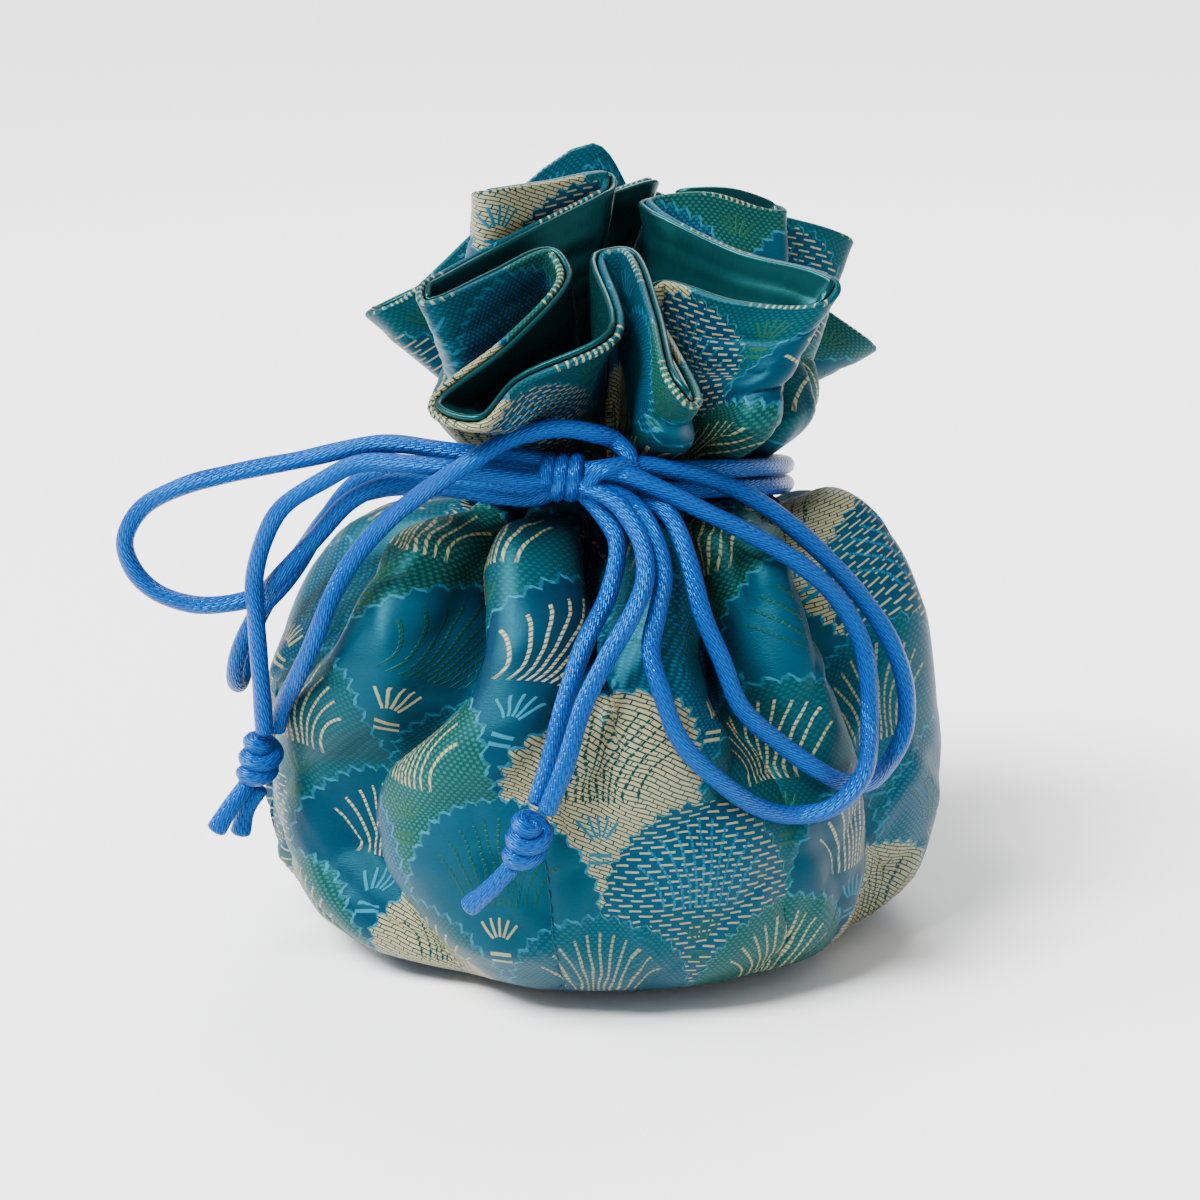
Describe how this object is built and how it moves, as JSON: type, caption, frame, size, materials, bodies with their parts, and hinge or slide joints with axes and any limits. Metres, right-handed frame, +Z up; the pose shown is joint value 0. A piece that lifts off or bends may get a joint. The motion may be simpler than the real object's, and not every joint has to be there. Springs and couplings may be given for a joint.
{
  "type": "reticule",
  "caption": "Round brocade drawstring reticule with a pleated, satin-lined ruffle and a blue satin cord wound round the neck and tied in a double bow.",
  "frame": {"origin": "middle of the flat base, on the surface that the pouch stands on", "axes": "+Z up along the pouch towards the ruffle, +X to the right and +Y to the back, seen from the front where the bow is"},
  "size_m": [0.1357, 0.1212, 0.1308],
  "materials": {
    "brocade": "woven satin",
    "lining": "satin",
    "cord": "satin"
  },
  "bodies": {
    "root": {"base_panel": "brocade", "panel_right_front": "brocade", "panel_right_back": "brocade", "panel_left_back": "brocade", "panel_left_front": "brocade", "brocade_ruffle": "brocade", "satin_lining": "lining", "neck_cord": "cord", "loop_left_long": "cord", "loop_left_short": "cord", "tail_left_1": "cord", "tail_left_2": "cord", "loop_right_outer": "cord", "loop_right_inner": "cord", "tail_right_1": "cord", "tail_right_2": "cord", "stub_left_1": "cord", "stub_left_2": "cord", "stub_right": "cord", "end_knot_left": "cord", "end_knot_right": "cord", "bow_knot": "cord"}
  },
  "joints": []
}
